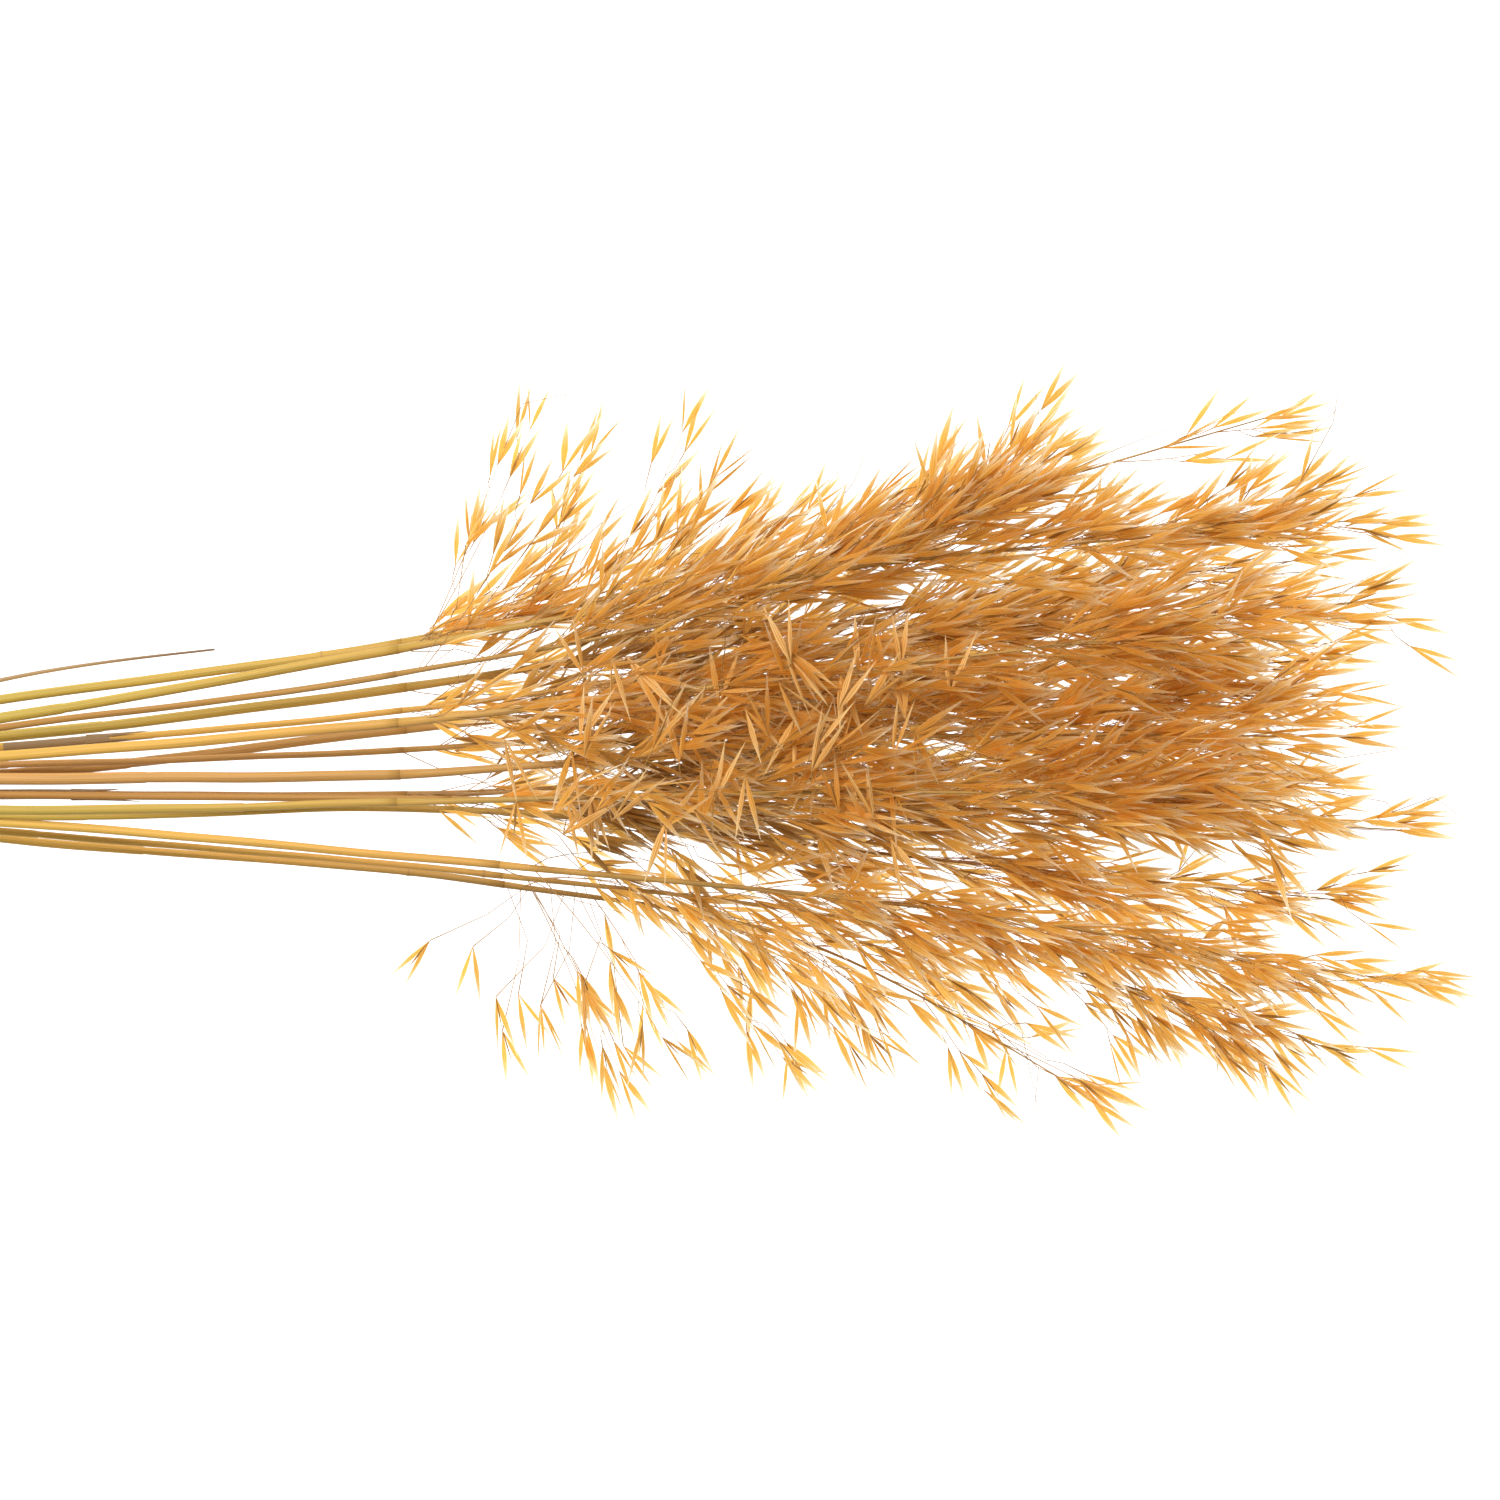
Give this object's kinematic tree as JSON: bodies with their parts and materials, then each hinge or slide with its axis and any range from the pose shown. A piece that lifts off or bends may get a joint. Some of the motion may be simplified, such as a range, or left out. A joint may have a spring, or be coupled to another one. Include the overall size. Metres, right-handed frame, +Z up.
{
  "type": "dried giant feather grass bundle",
  "caption": "Tied bunch of dried giant feather grass lying on its side: golden stems fan out from a raffia tie into open, drooping heads of papery spikelets.",
  "frame": {"origin": "on the surface that the bundle lies on, under the middle of its bounding box", "axes": "+X from the cut ends to the tips of the heads, +Z up from the surface"},
  "size_m": [1.0114, 0.3796, 0.1338],
  "materials": {
    "stem_green": "satin",
    "stem_gold": "satin",
    "stem_tan": "satin",
    "stem_brown": "satin",
    "glumes": "matte",
    "raffia": "matte"
  },
  "bodies": {
    "root": {"stem_01": "stem_green", "panicle_01": "glumes", "stem_02": "stem_green", "panicle_02": "glumes", "stem_03": "stem_brown", "panicle_03": "glumes", "stem_04": "stem_green", "panicle_04": "glumes", "stem_05": "stem_gold", "panicle_05": "glumes", "stem_06": "stem_gold", "panicle_06": "glumes", "stem_07": "stem_tan", "panicle_07": "glumes", "stem_08": "stem_tan", "panicle_08": "glumes", "stem_09": "stem_tan", "panicle_09": "glumes", "stem_10": "stem_brown", "panicle_10": "glumes", "stem_11": "stem_green", "panicle_11": "glumes", "stem_12": "stem_brown", "panicle_12": "glumes", "stem_13": "stem_green", "panicle_13": "glumes", "stem_14": "stem_gold", "panicle_14": "glumes", "stem_15": "stem_gold", "panicle_15": "glumes", "stem_16": "stem_gold", "panicle_16": "glumes", "tie": "raffia"}
  },
  "joints": []
}
